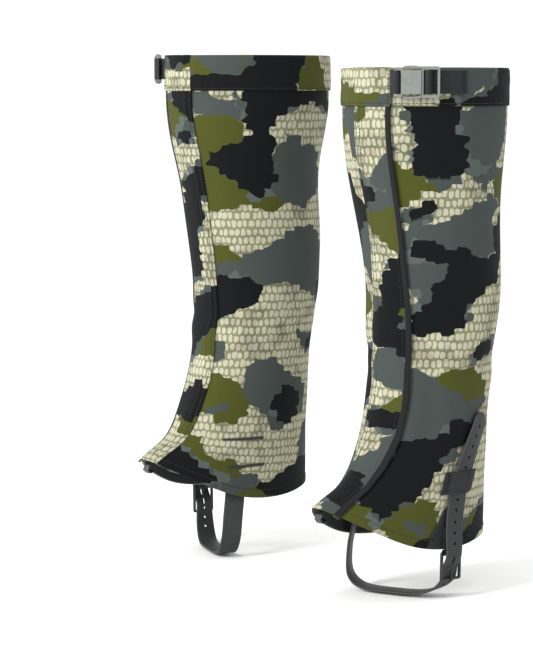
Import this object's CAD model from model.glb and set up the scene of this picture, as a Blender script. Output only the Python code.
"""A pair of knee-high gaiters, shaped as worn: printed cloth shells with closing flaps, cuffs, webbing,
side-release buckles and instep straps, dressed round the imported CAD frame. Lengths named _MM are
millimetres; everything that is put into Blender is in metres, in the frame's axes."""

import math

import bmesh
import bpy
import numpy as np
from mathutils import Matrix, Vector


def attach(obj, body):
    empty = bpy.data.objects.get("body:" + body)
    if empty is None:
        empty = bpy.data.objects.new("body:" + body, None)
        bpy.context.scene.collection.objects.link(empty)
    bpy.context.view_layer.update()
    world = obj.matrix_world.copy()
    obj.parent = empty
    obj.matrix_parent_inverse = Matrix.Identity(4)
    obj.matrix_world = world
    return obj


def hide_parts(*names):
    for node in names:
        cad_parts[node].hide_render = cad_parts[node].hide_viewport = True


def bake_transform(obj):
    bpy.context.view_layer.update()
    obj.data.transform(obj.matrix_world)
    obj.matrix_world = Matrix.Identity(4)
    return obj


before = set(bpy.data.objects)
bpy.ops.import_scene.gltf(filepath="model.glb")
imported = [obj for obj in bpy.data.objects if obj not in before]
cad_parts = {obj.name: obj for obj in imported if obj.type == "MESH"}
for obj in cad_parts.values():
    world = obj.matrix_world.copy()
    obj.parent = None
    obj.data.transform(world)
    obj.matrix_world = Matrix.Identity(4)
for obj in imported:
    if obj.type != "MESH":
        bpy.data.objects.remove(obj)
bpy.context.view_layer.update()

MM = 0.001
LEG_MM = 124.0  # from the middle to each leg's axis
SIDES = {"left": (1, 74.0, 0.0), "right": (-1, 79.5, 13.0)}  # direction, rim radius, how high it rides
RIM_MM = 473.0
CUFF_TALL_MM = 32.0
SEAM_X_MM = -12.0
FLAP_EDGE_X_MM = 25.5
EDGING_MM = 2.5
CUFF_FLAP_X_MM = 29.5
PANEL_FRONT_X_MM = -11.0
BUCKLE_ANGLE = math.radians(41.5)
BUCKLE_BELOW_RIM_MM = 11.5
CUFF_OUT_MM = 1.8
STRAP_WIDE_MM = 19.0
STRAP_THICK_MM = 2.2
STRAP_FOOT_MM = (5.0, 18.0)  # between these heights the strap starts to rise with its gaiter
HEM_MM = [  # places from toe to heel, and the hem's height there
    (-150, 97),
    (-128, 88.5),
    (-112, 79),
    (-90, 67),
    (-60, 54),
    (-25, 47),
    (25, 47.5),
    (90, 59),
]
FLAP_TAPER_MM = (  # places from toe to heel, and how far out the flap's free edge is there
    [-170.0, -105.0, -90.0, -76.0, -65.0, -55.0, -44.0],
    [19.0, 19.0, 19.2, 20.9, 24.3, 27.2, 28.0],
)
FLAP_TAPER_TOP_MM = 172.0
FLAP_DROP_MM = 1.5  # how far the flap comes down to the panel at its seam
CUFF_STEP_MM = 1.45  # how far the cuff rises where it passes over the flap
CUFF_STITCH_MM = 2.0  # a row of stitches above the cuff's lower edge
HEM_STITCH_MM = 7.0  # and one above the hem
FOLD_SEAM_MM = (-12.0, -127.0, 92.0)
FOLD_EDGE_MM = (28.0, -62.0, 158.0)
FOLD_OUTWARD = (0.15, -0.72, 0.70)
FOLD_HALF_MM = 5.0  # the cloth bends this far to each side of the fold line
BUCKLE_OUT_MM = 0.2
WEBBING_WIDE_MM = 20.0
WEFT_MM = 1.25  # one rib of the webbing
HOLES = 17
FIRST_HOLE_MM = 13.0
HOLE_PITCH_MM = 10.0
HOLE_RADIUS_MM = 1.4
NO_HOLES_MM = (126.0, 150.0)  # the slot takes the place of the holes here
UPPER_BAR_MM = (52.6, 43.0)  # x and z of the strap buckle's upper bar
STRAP_BUCKLE_Y_MM = -15.0
PRONG_SLOT_MM = (25.0, 40.0)  # the heights between which the strap is slotted for the prong
SLOT_RADIUS_MM = 1.35
KEEPER_UP_MM = 105.0
BARTACKS_UP_MM = (105.0, 79.0)
STRAP_ROUTE_MM = [  # x, y and z of its middle line, and its turn in degrees
    (50.4, 26.0, 165.0, 17),
    (51.2, 22.8, 158.5, 15),
    (52.2, 14.0, 142.0, 10),
    (52.6, 3.0, 120.0, 2),
    (52.7, -3.5, 105.0, 0),
    (53.2, -8.0, 91.0, -3),
    (54.8, -13.0, 68.0, -4),
    (56.4, -14.7, 54.0, -3),
    (56.9, -15.0, 43.0, 0),
    (55.2, -15.0, 36.0, 0),
    (51.4, -15.0, 29.0, 0),
    (50.0, -15.2, 21.0, 2),
    (44.0, -19.0, 11.5, 12),
    (33.0, -25.0, 5.5, 20),
    (15.0, -34.0, 3.2, 23),
    (0.0, -40.0, 3.0, 23),
    (-16.0, -46.0, 3.2, 24),
    (-30.0, -51.0, 6.5, 27),
    (-38.5, -53.0, 15.0, 32),
    (-40.5, -53.0, 28.0, 35),
    (-40.5, -51.0, 45.0, 35),
    (-38.3, -47.0, 64.0, 34),
    (-37.9, -43.0, 84.0, 32),
    (-38.0, -40.0, 104.0, 31),
]


# ---------------------------------------------------------------- numbers


def natural_spline(knots, values):
    """A function that gives the smooth curve through values at knots."""
    knots = np.asarray(knots, float)
    values = np.asarray(values, float)
    gaps = np.diff(knots)
    count = len(knots)
    system = np.eye(count)
    right = np.zeros_like(values)
    for i in range(1, count - 1):
        system[i, i - 1] = gaps[i - 1]
        system[i, i] = 2 * (gaps[i - 1] + gaps[i])
        system[i, i + 1] = gaps[i]
        slopes = (values[i + 1] - values[i]) / gaps[i] - (values[i] - values[i - 1]) / gaps[i - 1]
        right[i] = 6 * slopes
    bends = np.linalg.solve(system, right)

    def curve(at):
        at = np.asarray(at, float)
        i = np.clip(np.searchsorted(knots, at) - 1, 0, count - 2)
        gap = gaps[i]
        low = (knots[i + 1] - at) / gap
        high = (at - knots[i]) / gap
        if values.ndim > 1:
            low, high, gap = low[..., None], high[..., None], gap[..., None]
        straight = low * values[i] + high * values[i + 1]
        return straight + ((low**3 - low) * bends[i] + (high**3 - high) * bends[i + 1]) * gap**2 / 6

    return curve


def distances(places):
    """How far along a line each of its places lies."""
    return np.concatenate([[0], np.cumsum(np.linalg.norm(np.diff(places, axis=0), axis=1))])


def smooth_path(points, step):
    """Points a step apart along the smooth curve through a few points, and their distances along it."""
    points = np.asarray(points, float)
    knots = distances(points[:, :3])
    curve = natural_spline(knots, points)
    fine = curve(np.linspace(0, knots[-1], 2000))
    lengths = distances(fine[:, :3])
    count = max(2, int(round(lengths[-1] / step)) + 1)
    wanted = np.linspace(0, lengths[-1], count)
    columns = [np.interp(wanted, lengths, fine[:, k]) for k in range(fine.shape[1])]
    return np.stack(columns, -1), wanted


def unit(vectors):
    return vectors / np.maximum(np.linalg.norm(vectors, axis=-1, keepdims=True), 1e-12)


def bell(value, middle, width):
    return np.exp(-(((value - middle) / width) ** 2))


def ease(value):
    value = np.clip(value, 0, 1)
    return value * value * (3 - 2 * value)


def shares(count, dense_end=0, dense_share=0.0):
    """Evenly spaced shares from 0 to 1, with dense_end more packed into the last dense_share."""
    first = np.linspace(0, 1 - dense_share, count + 1)
    return np.concatenate([first, np.linspace(1 - dense_share, 1, dense_end + 1)[1:]])


def halve(low, high, is_low):
    """The values between low and high up to which is_low(value) is true."""
    for _ in range(20):
        middle = (low + high) / 2
        short = is_low(middle)
        low = np.where(short, middle, low)
        high = np.where(short, high, middle)
    return (low + high) / 2


# ---------------------------------------------------------------- the shell's surface


class Gaiter:
    """The smooth surface of one gaiter. turn runs round the leg from the front towards the outer side, and
    v from above the rim (0) to below the hem (1). Places are millimetres about the leg's axis, as on a left
    gaiter, until world() puts them in the frame."""

    def __init__(self, side):
        self.side = side
        self.direction, self.rim_radius, self.lift = SIDES[side]
        self.rim = RIM_MM + self.lift
        r = self.rim_radius
        rows = [
            (-r, 490, r, 490, r, 0),
            (-r, 473, r, 473, r, 0),
            (-r, 449, r, 449, r, 0),
            (-r, 425, r, 425, r, 0),
            (-66, 367, 70.5, 367, 68.5, 0),
            (-56, 308, 73, 308, 63, 0),
            (-51.5, 262, 73.5, 262, 58, 0),
            (-51, 218, 71, 218, 54, 0),
            (-56, 174, 66, 168, 50.5, 0),
            (-69, 137, 64, 112, 50, 0),
            (-93, 105, 65, 60, 50, 0.1),
            (-115, 94.5, 66, 30, 50, 0.22),
            (-136, 84, 67, 0, 50, 0.35),
        ]
        rows = np.array(rows, float)
        rows[:, 1] += self.lift
        rows[:, 3] += self.lift
        steps = [np.linalg.norm(np.diff(rows[:, k : k + 2], axis=0), axis=1) for k in (0, 2)]
        knots = np.concatenate([[0], np.cumsum(sum(steps) / 2)])
        self.curve = natural_spline(knots / knots[-1], rows)
        hem = np.array(HEM_MM, float)
        self.hem = natural_spline(hem[:, 0], hem[:, 1] + self.lift)

    def place(self, turn, v, out=0.0):
        turn, v, out = np.broadcast_arrays(turn, v, out)
        front_y, front_z, back_y, back_z, half, tip = np.moveaxis(self.curve(v), -1, 0)
        middle_y, middle_z = (front_y + back_y) / 2, (front_z + back_z) / 2
        dy, dz = front_y - middle_y, front_z - middle_z
        length = np.hypot(dy, dz)
        reach = (length + out) * np.cos(turn)
        narrow = 1 - tip * ((1 + np.cos(turn)) / 2) ** 6
        x = (half + out) * np.sin(turn) * narrow
        return np.stack([x, middle_y + dy / length * reach, middle_z + dz / length * reach], -1)

    def folds(self, turn, v):
        """How far the worn cloth stands out of its smooth surface: soft folds that die out at the cuff, at
        the hem and on the outer side, where the strap lies."""
        z = self.place(turn, v)[..., 2] - self.lift
        phase = 0.0 if self.side == "left" else 1.7
        calm = 1 - ease((z - 405) / 35)
        beside_strap = bell(turn, 1.45, 0.55) * ease((185 - z) / 30)
        calm = calm * (1 - beside_strap) * ease((z - 52) / 30)
        slant = z + 26 * np.cos(turn + 0.3 * phase)
        waves = 0.75 * np.sin(slant / 17.0 + 1.3 * np.sin(2 * turn + phase)) * bell(z, 232, 46)
        waves += 0.55 * np.sin(slant / 9.0 + 2.0 * np.sin(turn + phase)) * bell(z, 208, 22)
        waves += 0.9 * np.sin(2 * turn + z / 60.0 + phase) * bell(z, 330, 90)
        waves += 0.6 * np.sin(3 * turn - z / 38.0 + 2.1 + phase) * bell(z, 300, 120)
        waves += 0.5 * np.sin(z / 21.0 + 3 * turn + phase) * bell(z, 130, 34)
        waves -= 1.3 * bell(z, 214 + 10 * np.cos(turn), 9) * (0.6 + 0.4 * np.cos(turn))
        waves += 0.8 * np.sin(6.0 * turn + z / 45.0 + 0.7 * phase) * bell(z, 150, 60) * bell(turn, 1.0, 0.9)
        waves += 0.7 * np.sin(z / 30.0 - 2.2 * turn + phase) * bell(z, 350, 70)
        waves += 1.1 * np.sin(9.0 * turn + z / 70.0 + phase) * bell(z, 165, 52) * bell(turn, 0.85, 0.42)
        return 1.45 * waves * calm

    def surface(self, turn, v, out=0.0):
        return self.place(turn, v, out + self.folds(turn, v))

    def solve(self, turn, above):
        """The v at which above(places) goes from positive to negative, for each turn."""
        return halve(np.zeros_like(turn), np.ones_like(turn), lambda v: above(self.place(turn, v)) > 0)

    def v_at_height(self, turn, height):
        return self.solve(turn, lambda p: p[..., 2] - height)

    def v_at_hem(self, turn, raised=0.0):
        return self.solve(turn, lambda p: p[..., 2] - self.hem(p[..., 1]) - raised)

    def turn_at_x(self, x, v):
        """The turn near the front at which the surface crosses a distance x from the middle."""
        limits = np.full_like(v, -1.4), np.full_like(v, 1.4)
        return halve(*limits, lambda turn: self.place(turn, v)[..., 0] < x)

    def turn_at_edge(self, inside, v):
        """The turn of a line some way inside the flap's free edge, which tapers towards the toe."""
        turn = self.turn_at_x(FLAP_EDGE_X_MM + EDGING_MM - inside, v)
        for _ in range(5):
            spot = self.place(turn, v)
            tapered = np.interp(spot[..., 1], *FLAP_TAPER_MM)
            low = ease((FLAP_TAPER_TOP_MM + self.lift - spot[..., 2]) / 6.0)
            x = (FLAP_EDGE_X_MM + EDGING_MM) * (1 - low) + tapered * low - inside
            turn = turn + 0.6 * (self.turn_at_x(x, v) - turn)
        return turn

    def grid(self, start, end, top, bottom, across, along):
        """turn and v over a patch: start(v) to end(v) round the leg, top(turn) to bottom(turn) down it.
        across and along are shares from 0 to 1, where the columns and rows lie."""
        s, t = np.meshgrid(across, along)
        v = t * 0.9 + 0.04
        for _ in range(4):
            turn = start(v) * (1 - s) + end(v) * s
            v = top(turn) * (1 - t) + bottom(turn) * t
        return turn, v

    def turn_at_y(self, y, v, outer_side):
        """The turn on one side of the leg at which the surface crosses a distance y back from the axis."""
        limits = np.full_like(v, 0.05), np.full_like(v, math.pi - 0.05)
        found = halve(*limits, lambda turn: self.place(turn, v)[..., 1] < y)
        return found if outer_side else -found

    def along_x(self, x):
        """A line down the leg, as its turn for each v. So are the next two."""
        return lambda v: self.turn_at_x(x, v)

    def along_y(self, y, outer_side):
        return lambda v: self.turn_at_y(y, v, outer_side)

    def along_edge(self, inside):
        return lambda v: self.turn_at_edge(inside, v)

    def level(self, height):
        """A line round the leg, as its v for each turn. So is the next one."""
        return lambda turn: self.v_at_height(turn, height)

    def above_hem(self, raised):
        return lambda turn: self.v_at_hem(turn, raised)

    def normals(self, turn, v, out=0.0):
        """The outward directions of the surface."""
        small = 1e-3
        round_leg = self.surface(turn + small, v, out) - self.surface(turn - small, v, out)
        down = self.surface(turn, v + small, out) - self.surface(turn, v - small, out)
        return unit(np.cross(down, round_leg))

    def world(self, places):
        places = np.array(places, float) * MM
        places[..., 0] = self.direction * (places[..., 0] + LEG_MM * MM)
        return places


# ---------------------------------------------------------------- meshes


def mesh_piece(name, places, faces, material, uvs=None, flip=False, flat=False):
    """A mesh object from places in metres, with one texture coordinate, in metres of cloth, per place."""
    name = f"{name}_shown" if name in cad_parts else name
    mesh = bpy.data.meshes.new(name)
    if flip:
        faces = [face[::-1] for face in faces]
    mesh.from_pydata([tuple(p) for p in places], [], faces)
    if uvs is not None:
        layer = mesh.uv_layers.new(name="cloth")
        corners = np.zeros(len(mesh.loops), int)
        mesh.loops.foreach_get("vertex_index", corners)
        layer.data.foreach_set("uv", np.asarray(uvs, np.float32)[corners].ravel())
    mesh.polygons.foreach_set("use_smooth", [not flat] * len(mesh.polygons))
    mesh.materials.append(material)
    mesh.validate()
    obj = bpy.data.objects.new(name, mesh)
    bpy.context.scene.collection.objects.link(obj)
    return obj


def border(rows, columns):
    """The indices round the edge of a grid, in order."""
    top = [(0, c) for c in range(columns)]
    right = [(r, columns - 1) for r in range(1, rows)]
    bottom = [(rows - 1, c) for c in range(columns - 2, -1, -1)]
    left = [(r, 0) for r in range(rows - 2, 0, -1)]
    return top + right + bottom + left


def sheet_faces(outer, inner, edge_out):
    """A closed sheet between two grids of places, with a rounded edge. Returns places, faces and, for each
    place, the index of the outer grid's place that it copies its texture coordinate from."""
    rows, columns = outer.shape[:2]
    count = rows * columns
    places = [outer.reshape(-1, 3), inner.reshape(-1, 3)]
    source = list(range(count)) * 2
    faces = []
    for r in range(rows - 1):
        for c in range(columns - 1):
            a, b = r * columns + c, r * columns + c + 1
            d, e = a + columns, b + columns
            faces.append((a, b, e, d))
            faces.append((count + a, count + d, count + e, count + b))
    ring = border(rows, columns)
    edge = []
    for r, c in ring:
        inside = (min(max(r, 1), rows - 2), min(max(c, 1), columns - 2))
        away = outer[r, c] - outer[inside]
        thick = np.linalg.norm(outer[r, c] - inner[r, c])
        middle = (outer[r, c] + inner[r, c]) / 2
        edge.append(middle + away / max(np.linalg.norm(away), 1e-9) * thick * edge_out)
        source.append(r * columns + c)
    places.append(np.array(edge))
    for i, (r, c) in enumerate(ring):
        j = (i + 1) % len(ring)
        a = r * columns + c
        b = ring[j][0] * columns + ring[j][1]
        faces.append((b, a, 2 * count + i, 2 * count + j))
        faces.append((2 * count + j, 2 * count + i, count + a, count + b))
    return np.concatenate(places), faces, source


def cloth_coordinates(grid, middle):
    """Texture coordinates in metres of cloth, measured along a grid from its middle column and top row."""
    across = np.linalg.norm(np.diff(grid, axis=1), axis=2)
    along = np.linalg.norm(np.diff(grid, axis=0), axis=2)
    u = np.concatenate([np.zeros((len(grid), 1)), np.cumsum(across, axis=1)], axis=1)
    u = u - u[:, middle : middle + 1]
    v = np.concatenate([np.zeros((1, grid.shape[1])), np.cumsum(along, axis=0)], axis=0)
    return np.stack([u, -v], -1)


def patch(gaiter, name, turn, v, layer, material, offset=(0, 0), relief=0.0, shift=0.0, edge_out=0.45):
    """A piece of cloth on a gaiter: the layer between two distances out of the shell over a patch. shift
    moves both faces out, and relief the outer one alone."""
    inner_mm, outer_mm = layer
    outer = gaiter.world(gaiter.surface(turn, v, outer_mm + shift + relief))
    inner = gaiter.world(gaiter.surface(turn, v, inner_mm + shift))
    places, faces, source = sheet_faces(outer, inner, edge_out)
    uvs = cloth_coordinates(outer, turn.shape[1] // 2).reshape(-1, 2)
    uvs = uvs * (gaiter.direction, 1)
    uvs = uvs[source] + offset
    return mesh_piece(f"{gaiter.side}_{name}", places, faces, material, uvs, flip=gaiter.direction > 0)


def loop_piece(name, rings, material, uvs, closed, flip=False):
    """A tube through rings of places. closed joins the last ring to the first; otherwise its ends are
    filled. uvs are one per place."""
    count, size = rings.shape[:2]
    faces = []
    for i in range(count if closed else count - 1):
        j = (i + 1) % count
        for k in range(size):
            n = (k + 1) % size
            faces.append((i * size + k, i * size + n, j * size + n, j * size + k))
    if not closed:
        last = (count - 1) * size
        for k in range(size // 2 - 1):
            a, b, c, d = k, k + 1, size - 2 - k, size - 1 - k
            end = (a, b, d) if c == b else (a, b, c, d)
            faces.append(end[::-1])
            faces.append(tuple(last + q for q in end))
    return mesh_piece(name, rings.reshape(-1, 3), faces, material, uvs.reshape(-1, 2), flip)


def ribbon_outline(wide, thick):
    """The cross section of a strip: a flat rectangle with round edges, as (across, out)."""
    r = thick * 0.42
    corners = []
    for cx, cy, first in ((1, 1, 0), (-1, 1, 90), (-1, -1, 180), (1, -1, 270)):
        for angle in (first, first + 30, first + 60, first + 90):
            a = math.radians(angle)
            x = cx * (wide / 2 - r) + r * math.cos(a)
            y = cy * (thick / 2 - r) + r * math.sin(a)
            corners.append((x, y))
    return np.array(corners)


def ribbon(gaiter, name, path, across, wide, thick, material, ribs=None, widths=None):
    """A strip along a path in millimetres, with its width along across. ribs is (pitch, height), and widths
    the share of its width at each place of the path."""
    along = unit(np.gradient(path, axis=0))
    across = unit(across - along * np.sum(across * along, axis=1, keepdims=True))
    out = np.cross(across, along)
    lengths = distances(path)
    outline = ribbon_outline(wide, thick)
    widths = np.ones(len(path)) if widths is None else widths
    a = outline[None, :, 0] * widths[:, None]
    b = np.repeat(outline[None, :, 1], len(path), axis=0)
    if ribs is not None:
        pitch, height = ribs
        b = b + np.sign(b) * height * np.cos(2 * np.pi * lengths / pitch)[:, None]
    rings = path[:, None, :] + across[:, None, :] * a[..., None] + out[:, None, :] * b[..., None]
    uvs = np.stack([a, np.repeat(lengths[:, None], a.shape[1], axis=1)], -1) * MM
    # the outline starts at its right end and runs anticlockwise; pair it up from there for the end caps
    rings = np.roll(rings, -2, axis=1)
    uvs = np.roll(uvs, -2, axis=1)
    name = f"{gaiter.side}_{name}"
    return loop_piece(name, gaiter.world(rings), material, uvs, False, gaiter.direction < 0)


# ---------------------------------------------------------------- materials


class Shader:
    """A node material under construction."""

    def __init__(self, name):
        self.material = bpy.data.materials.new(name)
        self.material.use_nodes = True
        self.nodes = self.material.node_tree.nodes
        self.links = self.material.node_tree.links
        self.surface = self.nodes["Principled BSDF"]

    def put(self, socket, value):
        if isinstance(value, bpy.types.NodeSocket):
            self.links.new(value, socket)
        else:
            socket.default_value = value

    def node(self, kind, inputs=(), **settings):
        made = self.nodes.new("ShaderNode" + kind)
        for key, value in settings.items():
            setattr(made, key, value)
        for key, value in dict(inputs).items():
            self.put(made.inputs[key], value)
        return made

    def maths(self, operation, *values):
        made = self.node("Math", operation=operation)
        for i, value in enumerate(values):
            self.put(made.inputs[i], value)
        return made.outputs[0]

    def vector(self, operation, *values):
        made = self.node("VectorMath", operation=operation)
        for i, value in enumerate(values):
            self.put(made.inputs[i], value)
        return made.outputs[0]

    def times(self, first, second):
        return self.maths("MULTIPLY", first, second)

    def plus(self, first, second):
        return self.maths("ADD", first, second)

    def cloth(self):
        """Places in metres of cloth."""
        return self.node("UVMap", uv_map="cloth").outputs[0]

    def solid(self):
        """Places in metres of a solid thing."""
        return self.node("TexCoord").outputs["Object"]

    def axes(self, at):
        return self.node("SeparateXYZ", {0: at}).outputs[:2]

    def wave(self, value, pitch):
        """Ribs of one pitch along a distance, from -1 to 1."""
        return self.maths("SINE", self.times(value, 2 * math.pi / pitch))

    def noise(self, at, scale, detail=1.0, roughness=0.5, flat=True, output=0):
        made = self.node("TexNoise", noise_dimensions="2D" if flat else "3D")
        for key, value in (("Vector", at), ("Scale", scale), ("Detail", detail), ("Roughness", roughness)):
            self.put(made.inputs[key], value)
        return made.outputs[output]

    def step(self, value, low, high):
        """0 below low, 1 above high, smooth between."""
        made = self.node("MapRange", {"Value": value, "From Min": low, "From Max": high})
        made.interpolation_type = "SMOOTHSTEP"
        return made.outputs[0]

    def mix(self, share, first, second, blend="MIX"):
        """Two colours mixed; a colour is a socket or its red, green and blue."""
        made = self.node("Mix", data_type="RGBA", blend_type=blend)
        self.put(made.inputs[0], share)
        for i, tone in ((6, first), (7, second)):
            self.put(made.inputs[i], (*tone, 1.0) if isinstance(tone, tuple) else tone)
        return made.outputs[2]

    def ramp(self, value, low, high):
        """A value scaled from 0..1 to low..high."""
        return self.plus(low, self.times(value, high - low))

    def bump(self, height, distance, after=None):
        made = self.node("Bump", {"Height": height, "Distance": distance, "Strength": 1.0})
        if after is not None:
            self.put(made.inputs["Normal"], after)
        return made.outputs[0]

    def finish(self, **inputs):
        names = {"color": "Base Color", "sheen": "Sheen Weight", "specular": "Specular IOR Level"}
        for key, value in inputs.items():
            self.put(self.surface.inputs[names.get(key, key.capitalize())], value)
        return self.material


CHARCOAL = (0.0047, 0.0055, 0.0062)
SLATE = (0.0468, 0.0571, 0.0544)
PALE_SLATE = (0.0739, 0.0887, 0.0817)
OLIVE = (0.0538, 0.0598, 0.0108)
SCALE_PALE = (0.4166, 0.3943, 0.3013)
SCALE_TAN = (0.2753, 0.2492, 0.1897)
GROOVE = (0.1862, 0.1991, 0.1140)
GROOVE_DARK = (0.1200, 0.1280, 0.0736)


def camouflage():
    """Brushed stretch cloth printed with blocks of charcoal, slate and olive with scalloped edges, on a
    ground of pale scales in rows. The blocks are shaped by noise alone."""
    s = Shader("printed_cloth")
    at = s.cloth()
    waver = s.vector("SUBTRACT", s.noise(at, 150, 1.0, output=1), (0.5, 0.5, 0.5))
    bent = s.vector("ADD", at, s.vector("MULTIPLY", waver, (0.0026, 0.0018, 0.0)))
    squat = s.vector("MULTIPLY", bent, (1.0, 1.5, 1.0))
    cells = s.node(
        "TexVoronoi",
        {"Vector": squat, "Scale": 92.0, "Exponent": 5.0, "Randomness": 0.75, "Smoothness": 0.32},
        voronoi_dimensions="2D",
        distance="MINKOWSKI",
        feature="SMOOTH_F1",
    )
    lobed = s.node("Mix", {0: 0.2}, data_type="VECTOR")
    s.put(lobed.inputs[4], cells.outputs["Position"])
    s.put(lobed.inputs[5], squat)
    blocks = lobed.outputs[1]

    def field(shift, scale):
        return s.noise(s.vector("ADD", blocks, shift), scale, 1.3, 0.45)

    # ground: rows of rounded scales, each row shifted by half a scale, no two quite alike
    drift = s.vector("MULTIPLY", waver, (0.0030, 0.0022, 0.0))
    grid = s.vector("MULTIPLY", s.vector("ADD", at, drift), (176.0, 124.0, 1.0))
    across, up = s.axes(grid)
    row = s.maths("FLOOR", up)
    shifted = s.plus(across, s.times(row, 0.5))
    column = s.maths("FLOOR", shifted)
    scale_id = s.node("CombineXYZ", {0: column, 1: row}).outputs[0]
    chance = s.node("TexWhiteNoise", {"Vector": scale_id}, noise_dimensions="2D")
    dice = s.node("SeparateColor", {0: chance.outputs["Color"]})
    reach = []
    for axis, place, corner, slack, half in (
        (0, shifted, column, 0.20, (0.34, 0.44)),
        (1, up, row, 0.16, (0.36, 0.44)),
    ):
        centre = s.ramp(dice.outputs[axis], 0.5 - slack / 2, 0.5 + slack / 2)
        beside = s.maths("SUBTRACT", s.maths("SUBTRACT", place, corner), centre)
        share = s.maths("DIVIDE", s.maths("ABSOLUTE", beside), s.ramp(dice.outputs[2 - axis], *half))
        reach.append(s.maths("POWER", share, 2.7))
    ragged = s.times(s.noise(at, 420, 1.0), 0.35)
    far = s.plus(s.plus(*reach), ragged)
    is_scale = s.maths("SUBTRACT", 1.0, s.step(far, 1.08, 1.3))
    cell_tone = chance.outputs["Value"]
    patchy = s.noise(at, 34, 1.5)
    tan_share = s.times(s.step(patchy, 0.48, 0.64), s.ramp(cell_tone, 0.4, 1.0))
    scale_colour = s.mix(tan_share, SCALE_PALE, SCALE_TAN)
    groove_colour = s.mix(s.step(patchy, 0.40, 0.72), GROOVE, GROOVE_DARK)
    ground = s.mix(is_scale, groove_colour, scale_colour)

    olive = s.step(field((3.7, 1.9, 0), 8.6), 0.575, 0.578)
    slate = s.step(field((7.1, 5.3, 0), 8.6), 0.562, 0.565)
    dark_field = field((1.3, 8.9, 0), 9.8)
    dark = s.step(dark_field, 0.582, 0.585)
    broken = s.step(field((9.4, 2.2, 0), 21.0), 0.50, 0.503)
    rim = s.times(s.step(dark_field, 0.550, 0.553), broken)
    tone = s.mix(olive, ground, OLIVE)
    tone = s.mix(slate, tone, SLATE)
    tone = s.mix(rim, tone, s.mix(s.step(patchy, 0.5, 0.52), SLATE, PALE_SLATE))
    tone = s.mix(dark, tone, CHARCOAL)

    grain = s.noise(at, 1900, 2.0, 0.6)
    heather = s.noise(at, 620, 2.0, 0.6)
    speckle = s.node("CombineColor", {i: s.ramp(grain, 0.72, 1.28) for i in range(3)})
    tone = s.mix(0.85, tone, speckle.outputs[0], "MULTIPLY")
    fine = s.bump(heather, 0.00022, s.bump(grain, 0.00016))
    rough = s.ramp(heather, 0.78, 0.96)
    return s.finish(color=tone, roughness=rough, normal=fine, sheen=0.035, specular=0.08)


def plain_cloth(name, dark, light, pitch, twill=0.7):
    """A fine twill in two close tones, for edging, tapes and thread. pitch is one rib, in metres."""
    s = Shader(name)
    at = s.cloth()
    x, y = s.axes(at)
    ribs = s.wave(s.plus(y, s.times(x, twill)), pitch)
    wear = s.noise(at, 160, 3.0, 0.6)
    tone = s.mix(s.times(s.ramp(ribs, 0.5, 0.75), s.ramp(wear, 0.6, 1.4)), dark, light)
    normal = s.bump(s.plus(ribs, s.noise(at, 2600)), pitch * 0.12)
    return s.finish(color=tone, roughness=s.ramp(wear, 0.72, 0.95), normal=normal, sheen=0.03, specular=0.12)


def webbing_cloth():
    """Ribbed nylon webbing: ribs across, cut by the warp's lines along it, with a slight shine."""
    s = Shader("ribbed_webbing")
    at = s.cloth()
    x, y = s.axes(at)
    grain = s.noise(at, 3000)
    knots = s.times(s.ramp(s.wave(x, 0.00165), 0.5, 1.0), s.ramp(s.wave(y, WEFT_MM * MM), 0.5, 1.0))
    share = s.times(knots, s.ramp(grain, 0.6, 1.4))
    tone = s.mix(share, (0.005, 0.0057, 0.0071), (0.030, 0.034, 0.041))
    rough = s.ramp(grain, 0.48, 0.68)
    normal = s.bump(s.plus(knots, s.times(grain, 0.4)), 0.00022)
    return s.finish(color=tone, roughness=rough, normal=normal, sheen=0.03, specular=0.22)


def moulded_plastic():
    """Moulded plastic with a fine spark-eroded grain and slightly paler, rubbed high spots."""
    s = Shader("buckle_plastic")
    at = s.solid()
    grain = s.noise(at, 3200, 2.0, 0.6, flat=False)
    cloud = s.noise(at, 130, 3.0, 0.55, flat=False)
    tone = s.mix(s.ramp(cloud, -0.1, 0.9), (0.140, 0.156, 0.145), (0.194, 0.210, 0.197))
    rough = s.ramp(cloud, 0.35, 0.52)
    return s.finish(color=tone, roughness=rough, normal=s.bump(grain, 0.00005), specular=0.45)


def strap_rubber():
    """Smooth coated strap: very fine grain, faint lengthwise marks, paler where it is rubbed."""
    s = Shader("strap_rubber")
    at = s.cloth()
    stretched = s.vector("MULTIPLY", at, (1.0, 0.08, 1.0))
    marks = s.noise(stretched, 900, 3.0, 0.6)
    cloud = s.noise(at, 90, 3.0, 0.55)
    grain = s.noise(at, 3400)
    rubbed = s.step(s.maths("ABSOLUTE", s.axes(at)[0]), 0.0078, 0.0096)
    tone = s.mix(s.ramp(cloud, 0.1, 0.9), (0.016, 0.0175, 0.0185), (0.028, 0.030, 0.0315))
    tone = s.mix(s.times(rubbed, 0.35), tone, (0.060, 0.064, 0.066))
    normal = s.bump(marks, 0.00006, s.bump(grain, 0.00004))
    return s.finish(color=tone, roughness=s.ramp(cloud, 0.46, 0.62), normal=normal, specular=0.3)


def coated_fabric():
    """Black tear-resistant coated cloth: a fine plain weave under a dull coating."""
    s = Shader("coated_patch_cloth")
    at = s.cloth()
    x, y = s.axes(at)
    weave = s.times(s.wave(x, 0.0009), s.wave(y, 0.0009))
    cloud = s.noise(at, 120, 3.0, 0.6)
    tone = s.mix(s.ramp(cloud, 0.0, 1.0), (0.007, 0.008, 0.009), (0.022, 0.024, 0.026))
    normal = s.bump(weave, 0.00009, s.bump(cloud, 0.0006))
    return s.finish(color=tone, roughness=s.ramp(cloud, 0.55, 0.75), normal=normal, specular=0.25)


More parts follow.
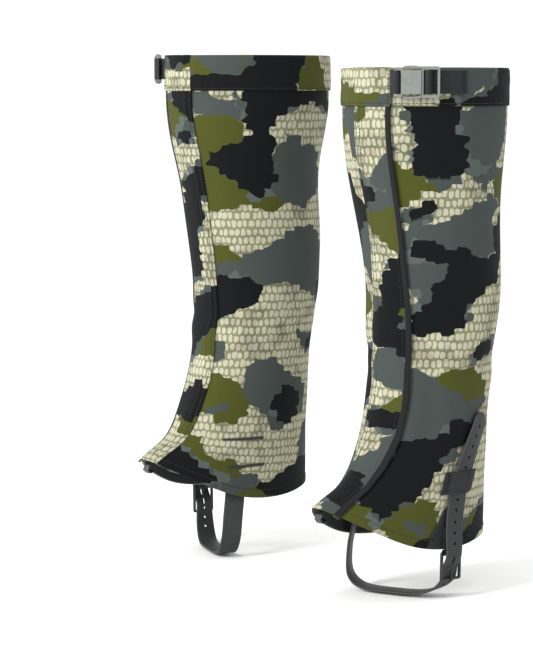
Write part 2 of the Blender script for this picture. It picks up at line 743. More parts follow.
def hook_and_loop(name, loops):
    """Hook or loop tape: a dark ground with a dense pile of small loops or a grid of hooks."""
    s = Shader(name)
    at = s.cloth()
    size, scatter = (1250.0, 1.0) if loops else (620.0, 0.15)
    cells = {"Vector": at, "Scale": size, "Randomness": scatter}
    pile = s.node("TexVoronoi", cells, voronoi_dimensions="2D")
    height = s.maths("SUBTRACT", 1.0, pile.outputs["Distance"])
    tone = s.mix(s.step(height, 0.3, 0.9), (0.008, 0.009, 0.010), (0.042, 0.045, 0.048))
    rough = s.ramp(height, 0.95, 0.8)
    return s.finish(color=tone, roughness=rough, normal=s.bump(height, 0.0004), sheen=0.3)


def black_metal():
    """Satin black coated wire and plate, with the coating thin and brighter on rubbed spots."""
    s = Shader("black_metal")
    at = s.solid()
    cloud = s.noise(at, 420, 4.0, 0.6, flat=False)
    grain = s.noise(at, 2800, 1.0, flat=False)
    worn = s.step(cloud, 0.60, 0.74)
    tone = s.mix(worn, (0.020, 0.021, 0.023), (0.11, 0.11, 0.115))
    rough, metallic = s.ramp(cloud, 0.34, 0.52), s.ramp(worn, 0.35, 0.9)
    return s.finish(color=tone, roughness=rough, normal=s.bump(grain, 0.00004), metallic=metallic)


CAMO = camouflage()
EDGING = plain_cloth("dark_edging_twill", (0.005, 0.0056, 0.006), (0.020, 0.022, 0.0235), 0.0009)
THREAD_DARK = plain_cloth("dark_thread", (0.018, 0.019, 0.020), (0.070, 0.074, 0.076), 0.0005)
INSIDE_TAPE = plain_cloth("inside_tape", (0.012, 0.013, 0.014), (0.048, 0.052, 0.056), 0.0011)
ELASTIC = plain_cloth("knitted_elastic", (0.012, 0.013, 0.015), (0.065, 0.070, 0.076), 0.0016, twill=0.0)
WEBBING = webbing_cloth()
BUCKLE = moulded_plastic()
RUBBER = strap_rubber()
PATCH = coated_fabric()
HOOKS = hook_and_loop("hook_tape_pile", False)
LOOPS = hook_and_loop("loop_tape_pile", True)
METAL = black_metal()


# ---------------------------------------------------------------- sewing


STITCH_RINGS = 5
STITCH_SIDES = 6


def stitch_row(places, outs, pitch=3.2, long=2.4, radius=0.27):
    """Stitches along a line of places (mm) with the cloth's outward directions: rings for sew()."""
    lengths = distances(places)
    count = max(1, int(lengths[-1] / pitch))
    middles = (np.arange(count) + 0.5) * pitch
    ahead = np.array([-1.0, -0.72, 0.0, 0.72, 1.0])
    thin = np.array([0.4, 0.95, 1.0, 0.95, 0.4])
    proud = np.array([-0.22, 0.02, 0.1, 0.02, -0.22])
    at = middles[:, None] + ahead * long / 2
    centre = np.stack([np.interp(at, lengths, places[:, k]) for k in range(3)], -1)
    out = unit(np.stack([np.interp(at, lengths, outs[:, k]) for k in range(3)], -1))
    along = unit(centre[:, -1] - centre[:, 0])[:, None, :] * np.ones((1, STITCH_RINGS, 1))
    side = unit(np.cross(out, along))
    angles = np.arange(STITCH_SIDES) * 2 * math.pi / STITCH_SIDES
    rings = centre[:, :, None, :] + out[:, :, None, :] * (proud[None, :, None, None] + 0.04)
    spread = np.cos(angles)[None, None, :, None] * side[:, :, None, :]
    spread = spread + np.sin(angles)[None, None, :, None] * out[:, :, None, :]
    return rings + spread * (radius * thin)[None, :, None, None]


def zigzag_row(first, last, out, pitch=1.5, tall=1.6):
    """Places of a zigzag between two places (mm), its points going sideways by tall."""
    first, last, out = (np.asarray(value, float) for value in (first, last, out))
    count = int(np.linalg.norm(last - first) / pitch)
    aside = unit(np.cross(out, last - first)) * tall
    sign = np.where(np.arange(count + 1) % 2 == 0, 0.5, -0.5)
    return first + (last - first) * shares(count)[:, None] + aside * sign[:, None]


def zigzag_stitches(corners, out, radius=0.3):
    """One stitch from each corner of a zigzag to the next."""
    outs = np.repeat(np.asarray(out, float)[None], 2, axis=0)
    rows = []
    for first, last in zip(corners[:-1], corners[1:]):
        long = float(np.linalg.norm(last - first))
        rows.append(stitch_row(np.array([first, last]), outs, pitch=long, long=long * 1.1, radius=radius))
    return np.concatenate(rows)


def sew(gaiter, name, rows, material):
    """One mesh of all the stitches in several rows."""
    sides = STITCH_SIDES
    rings = np.concatenate([row.reshape(-1, STITCH_RINGS, sides, 3) for row in rows])
    faces = []
    for base in range(0, len(rings) * STITCH_RINGS * sides, STITCH_RINGS * sides):
        for a in range(base, base + (STITCH_RINGS - 1) * sides, sides):
            for k in range(sides):
                n = (k + 1) % sides
                faces.append((a + k, a + n, a + sides + n, a + sides + k))
        faces.append(tuple(base + k for k in reversed(range(sides))))
        faces.append(tuple(a + sides + k for k in range(sides)))
    along, around = np.linspace(0, 0.0024, STITCH_RINGS), np.arange(sides) * 0.0003
    uvs = np.tile(np.stack(np.meshgrid(along, around, indexing="ij"), -1).reshape(-1, 2), (len(rings), 1))
    return mesh_piece(f"{gaiter.side}_{name}", gaiter.world(rings.reshape(-1, 3)), faces, material, uvs)


def along_surface(gaiter, turn, v, out):
    """Places and outward directions along a line on a gaiter."""
    turn, v = np.broadcast_arrays(np.asarray(turn, float), np.asarray(v, float))
    return gaiter.surface(turn, v, out), gaiter.normals(turn, v, out)


# ---------------------------------------------------------------- cloth pieces


def hem_relief(gaiter, turn, v):
    """The turned-up hem stands out a little, with a groove where it is sewn."""
    spot = gaiter.place(turn, v)
    above = spot[..., 2] - gaiter.hem(spot[..., 1])
    puckers = 0.10 * np.sin(above * 0.9) * np.sin(turn * 46) * bell(above, HEM_STITCH_MM, 5)
    return 0.55 * ease((7.6 - above) / 1.2) - 0.4 * bell(above, HEM_STITCH_MM, 0.8) + puckers


def flap_shift(gaiter, turn, v, drop):
    """How far a flap's cloth is from its flat layer: it comes down to the panel at its seam, and its free
    edge lifts a little in waves."""
    spot = gaiter.place(turn, v)
    x, z = spot[..., 0], spot[..., 2] - gaiter.lift
    phase = 0.4 if gaiter.side == "left" else 2.6
    waves = 0.5 + 0.35 * np.sin(z / 26.0 + phase) + 0.15 * np.sin(z / 9.5 + 2 * phase)
    return -drop * ease((-4.0 - x) / 8.0) + 0.8 * waves * ease((x - 9.0) / 14.0)


def whole_turn(value):
    return lambda v: np.full_like(v, value)


def panels(gaiter):
    made = []
    front = gaiter.along_x(PANEL_FRONT_X_MM)
    other = gaiter.direction < 0
    for name, start, end, print_x, print_y in (
        ("lateral_panel", front, whole_turn(math.pi), 0.31, 0.12),
        ("medial_panel", whole_turn(-math.pi), front, 1.47, 0.83),
    ):
        ends = (gaiter.level(gaiter.rim - 1.2), gaiter.v_at_hem)
        turn, v = gaiter.grid(start, end, *ends, shares(96), shares(150, 26, 0.045))
        offset = (print_x + 0.57 * other, print_y + 0.23 * other)
        made.append(patch(gaiter, name, turn, v, (-1.5, 0.0), CAMO, offset, hem_relief(gaiter, turn, v)))
    return made


def cuff(gaiter):
    """The cuff: a band folded over the rim, with a turned lower edge."""
    rim, low = gaiter.rim, gaiter.rim - CUFF_TALL_MM
    outside = [(0.35, low), (1.0, low - 0.35), (1.75, low + 0.3), (1.85, low + 1.0), (1.45, low + 1.9)]
    outside += [(1.75, low + 2.9), (1.8, low + 4.5)]
    outside += [(1.8 + 0.12 * math.sin(k * 1.1), low + 4.5 + k * 2.5) for k in range(1, 10)]
    outside += [(1.8, rim - 2.6), (1.65, rim - 0.9), (1.0, rim + 0.6), (-0.1, rim + 1.3), (-1.5, rim + 1.2)]
    outside += [(-2.6, rim + 0.4), (-3.1, rim - 1.2), (-3.2, rim - 6.0), (-3.2, rim - 18.0)]
    count = len(outside)
    inside = [(0.2, low)] * 3
    inside += [(0.2, low + 1 + k * (CUFF_TALL_MM - 3) / (count - 9)) for k in range(count - 8)]
    inside += [(0.2, rim - 0.5), (-0.4, rim - 0.1), (-1.2, rim - 0.1), (-1.7, rim - 1.0), (-1.7, rim - 18.0)]
    outline = np.array(outside + inside[::-1])
    turn = np.linspace(-math.pi, math.pi, 321)
    turn = np.sort(np.concatenate([turn, gaiter.turn_at_x(np.linspace(-16.0, -8.0, 17), np.full(17, 0.1))]))
    edge_v = gaiter.v_at_height(turn, rim)
    middle = gaiter.place(turn, edge_v)[..., 0]
    rise = CUFF_STEP_MM * ease((middle + 34) / 20) * ease((-11.0 - middle) / 1.2) * (np.abs(turn) < 1.5)
    outer_side = np.arange(len(outline)) < count - 4
    out = outline[:, 0][None, :] + rise[:, None] * outer_side[None, :]
    height = np.repeat(outline[:, 1][None], len(turn), axis=0)
    turns = np.repeat(turn[:, None], len(outline), axis=1)
    tall = (height - low) / CUFF_TALL_MM
    phase = 0.0 if gaiter.side == "left" else 1.1
    soft = 0.35 * np.sin(5 * turns + phase + 2 * tall) + 0.18 * np.sin(13 * turns + 3 * tall + phase)
    soft = soft * np.sin(np.clip(tall, 0, 1) * math.pi) * 0.8
    pucker = 0.11 * np.sin(turns * 62) * bell(height, low + 3.4, 2.6)
    v = gaiter.v_at_height(turns, height)
    places = gaiter.place(turns, v, out + (soft + pucker) * outer_side[None, :])
    uvs = np.stack(np.meshgrid(distances(places[:, 8]), distances(outline), indexing="ij"), -1) * MM
    offset = (2.36, 0.41) if gaiter.direction > 0 else (0.93, 2.07)
    name = f"{gaiter.side}_cuff_band"
    return loop_piece(name, gaiter.world(places), CAMO, uvs + offset, False, gaiter.direction > 0)


def cuff_flap(gaiter):
    """The cuff's free end, laid over the flap's top."""
    ends = (gaiter.along_x(SEAM_X_MM), gaiter.along_x(CUFF_FLAP_X_MM))
    ends += (gaiter.level(gaiter.rim + 0.9), gaiter.level(gaiter.rim - CUFF_TALL_MM))
    turn, v = gaiter.grid(*ends, shares(44, 12, 0.1), shares(28, 14, 0.12))
    spot = gaiter.place(turn, v)
    low = spot[..., 2] - (gaiter.rim - CUFF_TALL_MM)
    side = CUFF_FLAP_X_MM - spot[..., 0]
    relief = -0.35 * bell(low, 2.0, 0.7) - 0.35 * bell(side, 2.2, 0.7)
    drop = -CUFF_STEP_MM * ease((-2 - spot[..., 0]) / 9.0)
    waves = 0.3 * np.sin(spot[..., 0] / 6.0 + 1.0) * np.sin(np.clip(low / CUFF_TALL_MM, 0, 1) * math.pi)
    offset = (0.12, 1.92) if gaiter.direction > 0 else (1.71, 1.36)
    piece = patch(gaiter, "cuff_flap", turn, v, (3.4, 4.8), CAMO, offset, relief, drop + waves, 0.5)
    z = gaiter.rim - CUFF_TALL_MM + CUFF_STITCH_MM
    line = np.linspace(SEAM_X_MM + 2, CUFF_FLAP_X_MM - 1, 60)
    v_low = gaiter.v_at_height(gaiter.turn_at_x(line, np.full(60, 0.1)), z)
    out = 4.5 - CUFF_STEP_MM * ease((-2 - line) / 9.0)
    rows = [stitch_row(*along_surface(gaiter, gaiter.turn_at_x(line, v_low), v_low, out))]
    v_end = gaiter.v_at_height(np.full(30, 0.35), np.linspace(z + 1, gaiter.rim - 1, 30))
    turn_end = gaiter.turn_at_x(np.full(30, CUFF_FLAP_X_MM - 2.2), v_end)
    rows.append(stitch_row(*along_surface(gaiter, turn_end, v_end, 4.5)))
    return piece, sew(gaiter, "cuff_flap_stitches", rows, THREAD_DARK)


def fold_line(gaiter):
    """Where the flap's lower corner folds up: a place on the line, and the direction towards the corner."""
    seam = np.array(FOLD_SEAM_MM) + (0, 0, gaiter.lift)
    edge = np.array(FOLD_EDGE_MM) + (0, 0, gaiter.lift)
    along = unit(edge - seam)
    outward = np.array(FOLD_OUTWARD)
    outward = unit(outward - along * np.dot(outward, along))
    corner = np.cross(outward, along)
    corner = -corner if corner[2] > 0 else corner
    return (seam + edge) / 2, corner


def bend_at_fold(gaiter, piece):
    """The piece bends where the flap's lower corner is peeled back."""
    middle, corner = fold_line(gaiter)
    start = gaiter.world(middle - corner * FOLD_HALF_MM)
    end = gaiter.world(middle + corner * FOLD_HALF_MM)
    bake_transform(piece)


def front_flap(gaiter):
    """The closing flap with its bound free edge, hook tape and stitching."""
    cuff_low = gaiter.rim - CUFF_TALL_MM
    top = gaiter.level(cuff_low + 5.0)
    start, end = gaiter.along_x(SEAM_X_MM), gaiter.along_edge(EDGING_MM - 0.2)
    turn, v = gaiter.grid(start, end, top, gaiter.v_at_hem, shares(40), shares(190))
    offset = (2.11, 2.67) if gaiter.direction > 0 else (3.05, 0.52)
    x = gaiter.place(turn, v)[..., 0]
    seam_relief = -0.35 * bell(x, -9.4, 0.8) - 0.35 * bell(x, -3.4, 0.8)
    lifted = flap_shift(gaiter, turn, v, FLAP_DROP_MM)
    flap = patch(gaiter, "flap", turn, v, (1.7, 3.0), CAMO, offset, seam_relief, lifted, 0.3)

    inner, outer = gaiter.along_edge(EDGING_MM + 1.0), gaiter.along_edge(0.0)
    turn, v = gaiter.grid(inner, outer, top, gaiter.above_hem(-0.6), shares(6), shares(240))
    lifted = flap_shift(gaiter, turn, v, 0)
    edging = patch(gaiter, "flap_edging", turn, v, (1.45, 3.35), EDGING, shift=lifted)

    ends = (gaiter.along_x(2.0), gaiter.along_edge(FLAP_EDGE_X_MM + EDGING_MM - 23.0))
    ends += (gaiter.level(cuff_low - 4.4), gaiter.above_hem(7.0))
    turn, v = gaiter.grid(*ends, shares(12), shares(150))
    lifted = flap_shift(gaiter, turn, v, 0)
    hooks = patch(gaiter, "hook_tape", turn, v, (1.0, 1.6), HOOKS, shift=lifted, edge_out=0.3)
    loops = patch(gaiter, "loop_tape", turn, v, (0.2, 0.8), LOOPS, edge_out=0.3)

    rows = []
    v_line = np.linspace(float(gaiter.v_at_height(np.array([0.0]), cuff_low - 1)[0]), 1.0, 700)
    for x in (-9.4, -3.4, 21.8):
        wavy = x + 0.25 * np.sin(v_line * 40 + x)
        turn_line = gaiter.turn_at_x(wavy, v_line)
        if x > 0:
            turn_line = gaiter.turn_at_edge(FLAP_EDGE_X_MM + EDGING_MM - wavy, v_line)
        spot = gaiter.place(turn_line, v_line)
        keep = spot[:, 2] > gaiter.hem(spot[:, 1]) + 3.0
        out = 2.75 + flap_shift(gaiter, turn_line, v_line, FLAP_DROP_MM)
        places, outs = along_surface(gaiter, turn_line, v_line, out)
        rows.append(stitch_row(places[keep], outs[keep], pitch=3.0, long=2.3))
    stitches = sew(gaiter, "flap_stitches", rows, THREAD_DARK)
    return flap, edging, hooks, loops, stitches


def inside_pieces(gaiter):
    """The hem tape, the ankle elastic and the reinforcement for the strap, inside the shell."""
    around = (whole_turn(-math.pi), whole_turn(math.pi))
    turn, v = gaiter.grid(*around, gaiter.above_hem(8.0), gaiter.above_hem(0.4), shares(200), shares(6))
    hem = patch(gaiter, "hem_binding", turn, v, (-2.9, -1.6), INSIDE_TAPE)
    ends = (gaiter.level(222 + gaiter.lift), gaiter.level(208 + gaiter.lift))
    turn, v = gaiter.grid(*around, *ends, shares(200), shares(8))
    gathers = 0.25 * np.sin(turn * 70)
    elastic = patch(gaiter, "ankle_elastic", turn, v, (-3.2, -1.7), ELASTIC, shift=gathers - 0.3)
    ends = (gaiter.along_y(-18.0, False), gaiter.along_y(-62.0, False))
    ends += (gaiter.level(106 + gaiter.lift), gaiter.level(58 + gaiter.lift))
    turn, v = gaiter.grid(*ends, shares(16), shares(18))
    reinforcement = patch(gaiter, "medial_strap_patch", turn, v, (-3.1, -1.6), PATCH)
    return hem, elastic, reinforcement


def outer_patch(gaiter):
    """The black patch on the outer side of the hem, with a row of stitches round its edge."""
    outline_y = (-43.0, -36.0, -25.0, -16.0, -8.0, -3.0, 2.0)
    outline_z = (50.0, 61.0, 78.5, 83.0, 80.5, 70.0, 54.0)
    upper = natural_spline(outline_y, outline_z)
    front, back = gaiter.along_y(outline_y[0], True), gaiter.along_y(outline_y[-1], True)

    def top(turn):
        return gaiter.solve(turn, lambda p: p[..., 2] - gaiter.lift - upper(p[..., 1]))

    turn, v = gaiter.grid(front, back, top, gaiter.v_at_hem, shares(36), shares(30))
    relief = 0.3 * np.clip(hem_relief(gaiter, turn, v), -0.5, 1) + 0.25
    piece = patch(gaiter, "strap_anchor_patch", turn, v, (0.2, 1.4), PATCH, relief=relief)
    y = np.linspace(-37.0, -1.5, 70)
    turn_line = np.full(70, 1.6)
    for _ in range(8):
        v_line = gaiter.solve(turn_line, lambda p: p[..., 2] - gaiter.lift - upper(y) + 2.4)
        turn_line = gaiter.turn_at_y(y, v_line, True)
    rows = [stitch_row(*along_surface(gaiter, turn_line, v_line, 1.75), pitch=2.8, long=2.1, radius=0.22)]
    return piece, sew(gaiter, "patch_stitches", rows, THREAD_DARK)


def shell_stitches(gaiter):
    """The cuff's lower row, the hem's row and the back seam's two rows."""
    rows = []
    turn = np.linspace(-math.pi + 0.03, math.pi - 0.03, 700)
    height = gaiter.rim - CUFF_TALL_MM + CUFF_STITCH_MM
    x = gaiter.place(turn, np.full(700, 0.1))[:, 0]
    covered = (np.abs(turn) < 1.5) & (x > SEAM_X_MM - 1) & (x < CUFF_FLAP_X_MM + 1)
    rise = CUFF_STEP_MM * ease((x + 34) / 20) * (np.abs(turn) < 1.5) * (x < -11)
    v = gaiter.v_at_height(turn, np.full(700, height))
    places, outs = along_surface(gaiter, turn, v, 1.5 + rise)
    before = np.argmax(covered)
    after = len(turn) - np.argmax(covered[::-1])
    rows.append(stitch_row(places[:before], outs[:before]))
    rows.append(stitch_row(places[after:], outs[after:]))
    for low, high in ((-math.pi + 0.03, -0.24), (0.62, math.pi - 0.03)):
        turn = np.linspace(low, high, 500)
        v = gaiter.v_at_hem(turn, HEM_STITCH_MM)
        rows.append(stitch_row(*along_surface(gaiter, turn, v, -0.05), pitch=3.0, long=2.2))
    heights = np.linspace(gaiter.rim - CUFF_TALL_MM - 2, 80, 300)
    for beside_seam in (math.pi - 0.075, -math.pi + 0.075):
        turn = np.full(300, beside_seam)
        v = gaiter.v_at_height(turn, heights)
        spot = gaiter.place(turn, v)
        keep = spot[:, 2] > gaiter.hem(spot[:, 1]) + 9
        places, outs = along_surface(gaiter, turn, v, 0.0)
        rows.append(stitch_row(places[keep], outs[keep], pitch=3.0, long=2.2))
    return sew(gaiter, "shell_stitches", rows, THREAD_DARK)


def bartacks(gaiter):
    """Two dense zigzag rows through the inner side, where the strap is sewn on."""
    rows = []
    for height in BARTACKS_UP_MM:
        y = np.linspace(-62.0, -21.0, 36)
        v = np.full(36, 0.8)
        for _ in range(6):
            turn = gaiter.turn_at_y(y, v, False)
            v = gaiter.v_at_height(turn, np.full(36, height + gaiter.lift))
        places, outs = along_surface(gaiter, turn, v, 0.0)
        for up in (-0.9, 0.0, 0.9):
            aside = np.where(np.arange(36) % 2 == 0, 1.0, -1.0)
            corners = places + np.array((0, 0, 1.0)) * (aside + up)[:, None]
            rows.append(zigzag_stitches(corners, outs.mean(axis=0), 0.34))
    return sew(gaiter, "strap_bartacks", rows, THREAD_DARK)


# ---------------------------------------------------------------- webbing, strap and buckles


def buckle_frame(gaiter):
    """The cuff buckle's own frame: its origin on the cuff, and its slide, up and outward directions."""
    radius = gaiter.rim_radius + CUFF_OUT_MM + BUCKLE_OUT_MM
    outward = np.array((math.sin(BUCKLE_ANGLE), -math.cos(BUCKLE_ANGLE), 0.0))
    slide = np.array((math.cos(BUCKLE_ANGLE), math.sin(BUCKLE_ANGLE), 0.0))
    origin = outward * radius + (0, 0, gaiter.rim - BUCKLE_BELOW_RIM_MM)
    return origin, slide, outward, radius


def webbing_piece(gaiter, name, points):
    """Webbing along a line of (slide, outward) places in the cuff buckle's frame, and its path."""
    origin, slide, outward, _ = buckle_frame(gaiter)
    line, _ = smooth_path(np.array([(u, n, 0.0) for u, n in points]), 0.3)
    path = origin + line[:, :1] * slide + line[:, 1:2] * outward
    across = np.tile(np.array((0.0, 0.0, 1.0)), (len(path), 1))
    return ribbon(gaiter, name, path, across, WEBBING_WIDE_MM, 1.3, WEBBING, ribs=(WEFT_MM, 0.09)), path


def cuff_webbing(gaiter):
    """The buckle's three webbings: the short one from under the cuff's free end, the sewn one beneath the
    buckle, and the adjusting tail."""
    radius = buckle_frame(gaiter)[-1]

    def on_cuff(degrees, above):
        turn = math.radians(degrees) - BUCKLE_ANGLE
        return ((radius + above) * math.sin(turn), (radius + above) * math.cos(turn) - radius)

    short = [on_cuff(angle, 0.6) for angle in (12, 15, 18.5, 22, 25)]
    short += [(-20.5, 1.2), (-17.4, 2.1), (-16.0, 4.9), (-17.4, 7.5), (-19.8, 7.6), (-22.3, 5.9)]
    short += [(-24.5, 3.4)]
    tail = [(11.4, 2.6), (8.6, 2.3), (6.6, 3.6), (6.4, 6.6), (8.8, 8.0), (11.0, 7.0), (12.9, 3.9)]
    tail += [(16, 2.9), (20, 2.3)] + [on_cuff(angle, 2.45) for angle in (61, 64, 67, 70)]
    under = [on_cuff(angle, 0.9) for angle in np.linspace(44, 74, 13)]
    short_piece, _ = webbing_piece(gaiter, "buckle_webbing", short)
    tail_piece, _ = webbing_piece(gaiter, "tail_webbing", tail)
    under_piece, path = webbing_piece(gaiter, "anchor_webbing", under)
    along = unit(path[-1] - path[-2])
    sewn_at = math.radians(73.0)
    out = np.array((math.sin(sewn_at), -math.cos(sewn_at), 0.0))
    rows = []
    for back in (1.5, 5.5):
        foot = path[-1] - along * back + out * 0.7
        corners = zigzag_row(foot + (0, 0, -8.5), foot + (0, 0, 8.5), out, 1.1, 1.7)
        rows.append(zigzag_stitches(corners, out, 0.28))
    return short_piece, tail_piece, under_piece, sew(gaiter, "webbing_stitches", rows, THREAD_DARK)


def strap_line(gaiter, step):
    """The instep strap's middle line with its directions across and out, and how far along each place is."""
    low, high = STRAP_FOOT_MM
    rows = []
    for x, y, z, turn in STRAP_ROUTE_MM:
        risen = gaiter.lift * min(1.0, max(0.0, (z - low) / (high - low)))
        rows.append((x, y, z + risen, math.radians(turn)))
    line, lengths = smooth_path(np.array(rows), step)
    path, turn = line[:, :3], line[:, 3]
    across = np.stack([-np.sin(turn), np.cos(turn), np.zeros(len(turn))], -1)
    along = unit(np.gradient(path, axis=0))
    across = unit(across - along * np.sum(across * along, axis=1, keepdims=True))
    return path, across, np.cross(along, across), lengths


def cutter(gaiter, rings):
    """A closed tube that cuts a hole, through rings of places in millimetres."""
    blank = np.zeros(rings.shape[:2] + (2,))
    return loop_piece("cutter", gaiter.world(rings), RUBBER, blank, False, gaiter.direction < 0)


def instep_strap(gaiter):
    """The strap under the foot, with punched holes and the slot for the prong."""
    path, across, out, lengths = strap_line(gaiter, 1.2)
    tip = np.clip(1 - lengths / 9.0, 0, 1)
    widths = np.sqrt(np.clip(1 - tip**2.2, 0.02, 1))
    size = (STRAP_WIDE_MM, STRAP_THICK_MM)
    strap = ribbon(gaiter, "instep_strap", path, across, *size, RUBBER, widths=widths)
    angles = np.roll(np.arange(12) * math.pi / 6, 3)
    tools = []
    for distance in FIRST_HOLE_MM + HOLE_PITCH_MM * np.arange(HOLES):
        if NO_HOLES_MM[0] < distance < NO_HOLES_MM[1]:
            continue
        k = int(np.argmin(np.abs(lengths - distance)))
        along = np.cross(out[k], across[k])
        circle = HOLE_RADIUS_MM * (np.cos(angles)[:, None] * across[k] + np.sin(angles)[:, None] * along)
        tools.append(cutter(gaiter, np.stack([path[k] + circle + out[k] * depth for depth in (-3, 3)])))
    low, high = PRONG_SLOT_MM
    ring = []
    for angle in angles:
        middle = high - SLOT_RADIUS_MM if angle < math.pi else low + SLOT_RADIUS_MM
        y = STRAP_BUCKLE_Y_MM + SLOT_RADIUS_MM * math.cos(angle)
        ring.append((0.0, y, middle + SLOT_RADIUS_MM * math.sin(angle) + gaiter.lift))
    tools.append(cutter(gaiter, np.stack([np.array(ring) + (x, 0, 0) for x in (44.0, 64.0)])))
    bpy.ops.object.select_all(action="DESELECT")
    for tool in tools:
        tool.select_set(True)
    bpy.context.view_layer.objects.active = tools[0]
    bpy.ops.object.join()
    cut = strap.modifiers.new("holes", "BOOLEAN")
    cut.object = tools[0]
    cut.solver = "EXACT"
    bpy.context.view_layer.update()
    shape = strap.evaluated_get(bpy.context.evaluated_depsgraph_get())
    mesh = bpy.data.meshes.new_from_object(shape)
    strap.modifiers.clear()
    strap.data = mesh
    mesh.polygons.foreach_set("use_smooth", [True] * len(mesh.polygons))
    mesh.set_sharp_from_angle(angle=math.radians(50))
    bpy.data.objects.remove(tools[0])
    return strap


def keeper(gaiter):
    """The sleeve that holds the strap's end against the leg, sewn down by a tab on each side."""
    path = strap_line(gaiter, 0.5)[0]
    middle = int(np.argmin(np.abs(path[:, 2] - gaiter.lift - KEEPER_UP_MM) + 100 * (path[:, 0] < 30)))
    place = path[middle]
    lean = (path[middle - 8] - path[middle + 8]) / (path[middle - 8, 2] - path[middle + 8, 2])
    outward, wide, up = np.eye(3)

    def leaning(points):
        """Points moved sideways with their height, as the strap leans."""
        return points + (points[..., 2:3] - place[2]) * (lean - up)

    arch = [(-19.0, -2.3), (-15.5, -2.05), (-12.6, -1.8), (-11.6, -0.6), (-11.2, 1.2)]
    arch += [(-10.4, 2.2), (-6, 2.5)]
    arch += [(0, 2.55)] + [(-a, b) for a, b in arch[:0:-1]] + [(18.5, -2.9)]
    line, _ = smooth_path(np.array([(a, b, 0.0) for a, b in arch]), 0.35)
    track = place + line[:, :1] * wide + line[:, 1:2] * outward
    piece = ribbon(gaiter, "strap_keeper", track, np.tile(up, (len(track), 1)), 20.0, 1.1, PATCH)
    for vertex in piece.data.vertices:
        above = vertex.co.z - place[2] * MM
        vertex.co.y += above * lean[1]
        vertex.co.x += above * lean[0] * gaiter.direction
    rows = []
    for a, down in ((-17.3, -1.5), (-14.3, -1.35), (14.3, -1.35), (17.3, -2.0)):
        foot = place + wide * a + outward * down
        track = leaning(np.stack([foot - up * 8.8, foot + up * 8.8]))
        rows.append(stitch_row(track, np.tile(outward, (2, 1)), pitch=2.6, long=2.0, radius=0.24))
    for b in (-8.6, 8.6):
        line, _ = smooth_path(np.array([(-9.5, 2.85, 0.0), (0.0, 3.1, 0.0), (9.5, 2.85, 0.0)]), 1.0)
        track = leaning(place + line[:, :1] * wide + line[:, 1:2] * outward + up * b)
        rows.append(stitch_row(track, np.tile(outward, (len(track), 1)), pitch=2.6, long=2.0, radius=0.2))
    return piece, sew(gaiter, "keeper_stitches", rows, THREAD_DARK)


def buckle_tab(gaiter):
    """The folded tab that holds the strap buckle's upper bar below the hem."""
    around = [(-0.5, 23.0), (-0.35, 14.0), (-0.1, 6.0), (1.3, 2.6), (2.0, 0.2), (1.2, -1.7), (-0.2, -2.2)]
    around += [(-1.5, -1.5), (-2.0, 0.2), (-1.8, 2.6)]
    line, _ = smooth_path(np.array([(x, z, 0.0) for x, z in around]), 0.4)
    bar = np.array((UPPER_BAR_MM[0], STRAP_BUCKLE_Y_MM, UPPER_BAR_MM[1] + gaiter.lift))
    path = bar + line[:, :1] * (1.0, 0, 0) + line[:, 1:2] * (0, 0, 1.0)
    across = np.tile(np.array((0.0, 1.0, 0.0)), (len(path), 1))
    return ribbon(gaiter, "strap_buckle_tab", path, across, 18.0, 1.0, PATCH)


SHARP = math.radians(32)


def eased_copy(node, material, width_mm):
    """A copy of a CAD node with its edges eased."""
    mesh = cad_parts[node].data.copy()
    mesh.materials.clear()
    shape = bmesh.new()
    shape.from_mesh(mesh)
    bmesh.ops.remove_doubles(shape, verts=shape.verts, dist=1e-6)
    corners = {"verts": shape.verts, "edges": shape.edges}
    bmesh.ops.dissolve_limit(shape, angle_limit=math.radians(1.0), delimit=set(), **corners)
    shape.to_mesh(mesh)
    shape.free()
    obj = bpy.data.objects.new(f"{node}_shown", mesh)
    bpy.context.scene.collection.objects.link(obj)
    mesh.materials.append(material)
    mesh.polygons.foreach_set("use_smooth", [True] * len(mesh.polygons))
    mesh.set_sharp_from_angle(angle=SHARP)
    bevel = obj.modifiers.new("eased_edges", "BEVEL")
    bevel.width = width_mm * MM
    bevel.segments = 2
    bevel.limit_method = "ANGLE"
    bevel.angle_limit = SHARP
    bevel.harden_normals = False
    return obj


# ---------------------------------------------------------------- the pair

PLASTIC_AND_METAL = (  # node, material, how far its edges are eased in millimetres, finish, body
    ("buckle_socket", BUCKLE, 0.45, "buckle_plastic", "gaiter"),
    ("buckle_plug", BUCKLE, 0.4, "buckle_plastic", "buckle_plug"),
    ("upper_latch_arm", BUCKLE, 0.4, "buckle_plastic", "upper_latch"),
    ("lower_latch_arm", BUCKLE, 0.4, "buckle_plastic", "lower_latch"),
    ("strap_buckle_frame", METAL, 0.5, "black_metal", "gaiter"),
    ("strap_buckle_prong", METAL, 0.25, "black_metal", "strap_prong"),
    ("lace_hook", METAL, 0.2, "black_metal", "gaiter"),
)


def settle(piece, side, body, slot, *nodes):
    """Puts a piece on a body, unless it bends between two, and says its finish and the nodes it replaces."""
    if body is not None:
        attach(piece, f"{side}_{body}")
    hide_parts(*(f"{side}_{node}" for node in nodes))


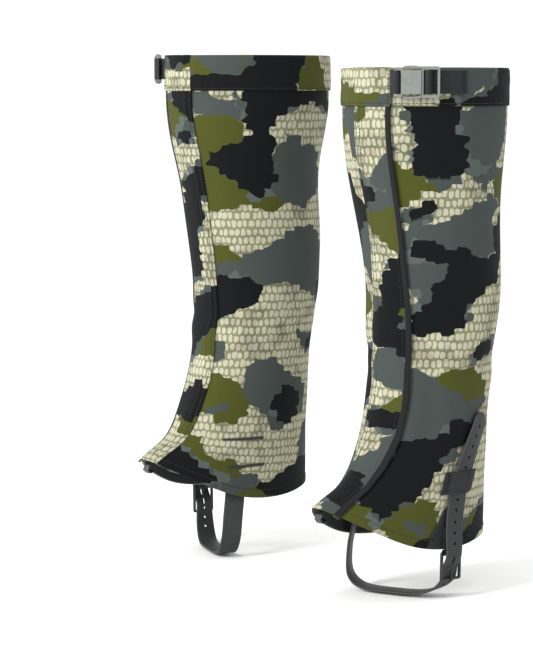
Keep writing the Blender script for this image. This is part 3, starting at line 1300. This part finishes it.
def build(side):
    gaiter = Gaiter(side)
    lateral, medial = panels(gaiter)
    band = cuff(gaiter)
    over, over_stitches = cuff_flap(gaiter)
    flap, edging, hooks, loops, flap_stitches = front_flap(gaiter)
    hem, elastic, reinforcement = inside_pieces(gaiter)
    wedge, wedge_stitches = outer_patch(gaiter)
    seams, tacks = shell_stitches(gaiter), bartacks(gaiter)
    short, tail, under, web_stitches = cuff_webbing(gaiter)
    strap = instep_strap(gaiter)
    sleeve, sleeve_stitches = keeper(gaiter)
    tab = buckle_tab(gaiter)
    for piece in (flap, edging, hooks, flap_stitches):
        bend_at_fold(gaiter, piece)
    for slot, body, settled in (
        ("camouflage_cloth", "gaiter", ((lateral, "lateral_panel"), (medial, "medial_panel"))),
        ("camouflage_cloth", "gaiter", ((band, "cuff_band"), (over, "cuff_flap"))),
        ("camouflage_cloth", None, ((flap, "upper_flap", "lower_flap"),)),
        ("dark_edging", None, ((edging, "upper_flap_edging", "lower_flap_edging"), (flap_stitches,))),
        ("dark_edging", "gaiter", ((hem, "hem_binding"), (seams,), (tacks,), (web_stitches,))),
        ("dark_edging", "gaiter", ((over_stitches,), (wedge_stitches,), (sleeve_stitches,))),
        ("hook_and_loop", None, ((hooks, "upper_hook_tape", "lower_hook_tape"),)),
        ("hook_and_loop", "gaiter", ((loops, "loop_tape"),)),
        ("elastic", "gaiter", ((elastic, "ankle_elastic"),)),
        ("coated_patch", "gaiter", ((reinforcement, "medial_strap_patch"), (wedge, "strap_anchor_patch"))),
        ("coated_patch", "gaiter", ((sleeve, "strap_keeper"), (tab, "strap_buckle_tab"))),
        ("webbing", "gaiter", ((short, "buckle_webbing"), (under, "anchor_webbing"))),
        ("webbing", "buckle_plug", ((tail, "tail_webbing"),)),
        ("strap_rubber", "gaiter", ((strap, "instep_strap"),)),
    ):
        for piece, *nodes in settled:
            settle(piece, side, body, slot, *nodes)
    for node, material, width_mm, slot, body in PLASTIC_AND_METAL:
        settle(eased_copy(f"{side}_{node}", material, width_mm), side, body, slot, node)


for side in SIDES:
    build(side)


# ---------------------------------------------------------------- stage


def look_along(obj, direction):
    obj.rotation_euler = Vector(direction).to_track_quat("-Z", "Y").to_euler()


camera = bpy.data.objects.new("camera", bpy.data.cameras.new("camera"))
bpy.context.scene.collection.objects.link(camera)
camera.location = (1.632, -1.475, 0.46)
tilt = math.radians(6.1)
look_along(camera, (-0.760 * math.cos(tilt), 0.649 * math.cos(tilt), -math.sin(tilt)))
camera.data.lens = 125.9
camera.data.sensor_width = 36.0
camera.data.clip_end = 50.0
bpy.context.scene.camera = camera

for name, place, aim, size, watts, tint in (
    ("key", (0.1, -2.9, 1.7), (0.0, 0.0, 0.25), 1.0, 78.0, (1.0, 0.99, 0.965)),
    ("side", (-2.4, -1.6, 1.2), (0.0, 0.0, 0.25), 1.2, 22.0, (1.0, 1.0, 1.0)),
    ("top", (0.2, -0.3, 2.8), (0.0, 0.0, 0.2), 1.6, 10.0, (1.0, 1.0, 1.0)),
):
    lamp = bpy.data.objects.new(f"{name}_light", bpy.data.lights.new(f"{name}_light", "AREA"))
    bpy.context.scene.collection.objects.link(lamp)
    lamp.location = place
    look_along(lamp, Vector(aim) - Vector(place))
    lamp.data.shape = "DISK"
    lamp.data.size = size
    lamp.data.energy = watts
    lamp.data.color = tint

floor_mesh = bpy.data.meshes.new("floor")
floor_mesh.from_pydata([(-9, -9, 0), (9, -9, 0), (9, 9, 0), (-9, 9, 0)], [], [(0, 1, 2, 3)])
floor = bpy.data.objects.new("floor", floor_mesh)
bpy.context.scene.collection.objects.link(floor)
pale = Shader("pale_floor")
mottle = pale.noise(pale.solid(), 3.0, 2.0, flat=False)
tone = pale.mix(mottle, (0.93, 0.93, 0.93), (0.95, 0.95, 0.95))
floor_mesh.materials.append(pale.finish(color=tone, roughness=0.9))

world = bpy.data.worlds.new("white_studio")
bpy.context.scene.world = world
world.use_nodes = True
background = world.node_tree.nodes["Background"]
background.inputs["Color"].default_value = (1.0, 1.0, 1.0, 1.0)
background.inputs["Strength"].default_value = 1.08

bpy.context.scene.view_settings.view_transform = "Standard"
